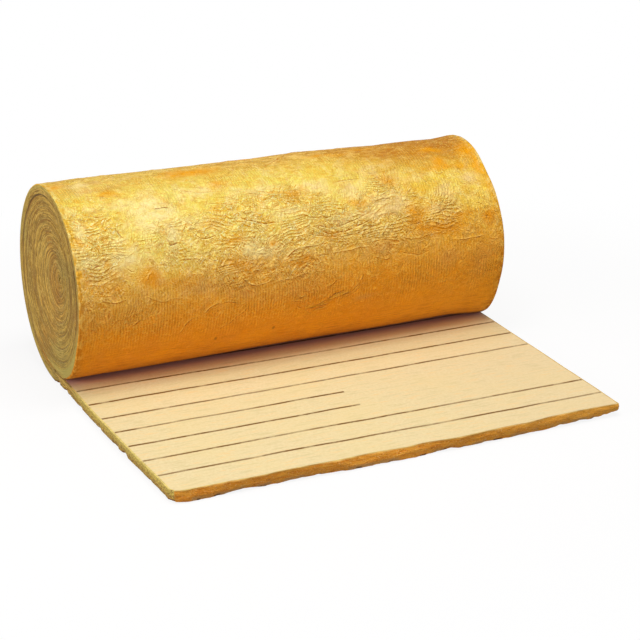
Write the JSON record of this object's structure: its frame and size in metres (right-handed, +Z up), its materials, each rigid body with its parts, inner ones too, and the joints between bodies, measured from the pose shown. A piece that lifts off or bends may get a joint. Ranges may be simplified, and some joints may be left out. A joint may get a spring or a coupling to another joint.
{
  "type": "paper-faced glass wool insulation roll",
  "caption": "Glass wool insulation blanket with a kraft paper facing, wound into a roll lying on its side, with its free end unrolled flat on the floor, paper up.",
  "frame": {"origin": "centre of the object's footprint on the floor, under the middle of the width", "axes": "+X along the roll's axis, +Z up, the unrolled free end points to -Y"},
  "size_m": [1.2, 1.1496, 0.519],
  "materials": {
    "glass_wool": "matte fibrous wool",
    "kraft_paper": "matte kraft with printed cutting lines"
  },
  "bodies": {
    "root": {"glass_wool_blanket": "glass_wool", "kraft_paper_facing": "kraft_paper"}
  },
  "joints": []
}
